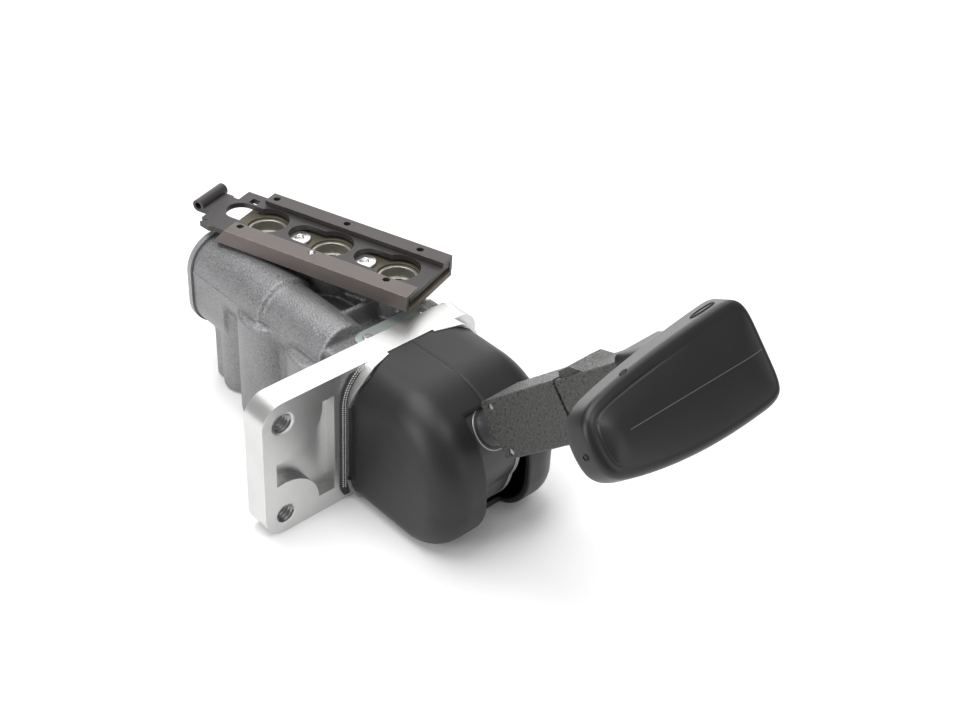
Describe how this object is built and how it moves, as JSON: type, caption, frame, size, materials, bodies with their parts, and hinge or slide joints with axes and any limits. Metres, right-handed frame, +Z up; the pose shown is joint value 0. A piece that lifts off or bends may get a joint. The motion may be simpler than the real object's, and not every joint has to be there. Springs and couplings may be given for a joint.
{
  "type": "hand brake valve",
  "caption": "Hand brake valve: cast air valve behind a bolt flange, hooded cam lever with a broad T handle, and a row of air sockets under a locking slide.",
  "frame": {"origin": "midway between the two threaded holes, on the flange's front face", "axes": "-Y out of the flange towards the lever, +Z up along the line of the two holes, +X from the holes to the hood"},
  "size_m": [0.0952, 0.2371, 0.1201],
  "materials": {
    "cast_aluminium": "sand cast, matte",
    "cover_metal": "cast, matte",
    "bright_flange": "blasted, bright",
    "screw_steel": "zinc plated",
    "seal_rubber": "knurled rubber",
    "black_plastic": "satin moulded",
    "grained_plastic": "grained moulded",
    "drum_plastic": "satin moulded",
    "shaft_steel": "ground",
    "bracket_steel": "pressed sheet",
    "spring_steel": "drawn wire",
    "brass_parts": "turned",
    "piston_alloy": "turned",
    "plate_olive": "olive passivated",
    "socket_metal": "machined",
    "slide_steel": "blackened sheet",
    "plate_label": "satin"
  },
  "bodies": {
    "valve": {"valve_body": "cast_aluminium", "rear_cover": "cover_metal", "rear_cover_screws": "screw_steel", "mounting_flange": "bright_flange", "flange_screws": "screw_steel", "hood_seal": "seal_rubber", "hood_left": "black_plastic", "hood_right": "black_plastic", "pivot_bracket": "bracket_steel", "bracket_screws": "screw_steel", "pivot_pin": "shaft_steel", "graduating_spring": "spring_steel", "piston": "piston_alloy", "piston_rings": "seal_rubber", "valve_insert": "brass_parts", "valve_spring": "spring_steel", "port_plate": "plate_olive", "port_socket_1": "socket_metal", "port_socket_2": "socket_metal", "port_socket_3": "socket_metal", "plate_screws": "screw_steel", "rail_near": "slide_steel", "rail_far": "slide_steel", "detent_ball": "screw_steel", "data_plate": "plate_label", "data_plate_rivets": "screw_steel"},
    "lever": {"cam_drum": "drum_plastic", "lever_stem": "shaft_steel", "lever_arm": "grained_plastic", "arm_pins": "screw_steel", "handle": "black_plastic", "collar_spring": "spring_steel"},
    "collar": {"release_collar": "grained_plastic"},
    "plunger": {"plunger": "brass_parts"},
    "slide": {"lock_slide": "slide_steel"}
  },
  "joints": [
    {"name": "lever_swing", "type": "hinge", "parent": "valve", "child": "lever", "pos_m": [0.0525, -0.026, 0.0034], "axis": [1, 0, 0], "range_deg": [0, 77], "stiffness_Nm_per_rad": 0.3, "springref_deg": -68.75},
    {"name": "collar_slide", "type": "slide", "parent": "lever", "child": "collar", "axis": [0, -0.7396, 0.673], "range_m": [0, 0.004], "stiffness_N_per_m": 800, "springref_m": -0.004, "deforming": ["collar_spring"]},
    {"name": "plunger_slide", "type": "slide", "parent": "valve", "child": "plunger", "axis": [0, 1, 0], "range_m": [-0.006, 0], "deforming": ["graduating_spring"]},
    {"name": "slide_travel", "type": "slide", "parent": "valve", "child": "slide", "axis": [0.309, -0.9511, 0], "range_m": [0, 0.0116]}
  ],
  "couplings": [
    {"joint": "plunger_slide", "follows": "lever_swing", "m_per_rad": -0.0044646}
  ]
}
